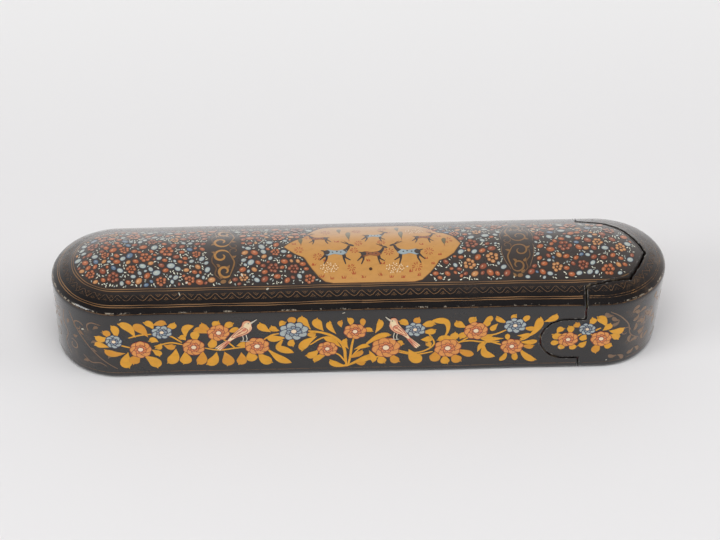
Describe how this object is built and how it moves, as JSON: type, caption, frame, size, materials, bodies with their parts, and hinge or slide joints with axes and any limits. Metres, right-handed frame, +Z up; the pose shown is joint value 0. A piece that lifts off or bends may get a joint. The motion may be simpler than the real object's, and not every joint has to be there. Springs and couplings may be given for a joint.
{
  "type": "pen box",
  "caption": "Long round-ended box with a domed top, whose end pulls out with a tray for pens and a lidded inkwell.",
  "frame": {"origin": "middle of the underside, on the surface that the box stands on", "axes": "+X along the box towards the end that pulls out, +Y across it away from the picture's viewer, +Z up"},
  "size_m": [0.27, 0.06, 0.0494],
  "materials": {
    "lacquer_black": "glossy black lacquer over papier-mache, painted",
    "tray_lacquer": "satin red lacquer over papier-mache",
    "brass": "aged brass, satin",
    "ink_silk": "matt silk floss, soaked with ink"
  },
  "bodies": {
    "sleeve": {"sleeve_casing": "lacquer_black"},
    "tray": {"end_cap": "lacquer_black", "tray_trough": "tray_lacquer", "tray_partition": "tray_lacquer", "inkwell_cup": "brass", "inkwell_top": "brass", "ink_wad": "ink_silk", "hinge_ears": "brass", "hinge_pin": "brass"},
    "lid": {"inkwell_lid": "brass", "lid_knob": "brass"}
  },
  "joints": [
    {"name": "tray_slide", "type": "slide", "parent": "sleeve", "child": "tray", "axis": [1, 0, 0], "range_m": [0, 0.232]},
    {"name": "lid_hinge", "type": "hinge", "parent": "tray", "child": "lid", "pos_m": [0.1118, 0, 0.0235], "axis": [0, 1, 0], "range_deg": [0, 100]}
  ]
}
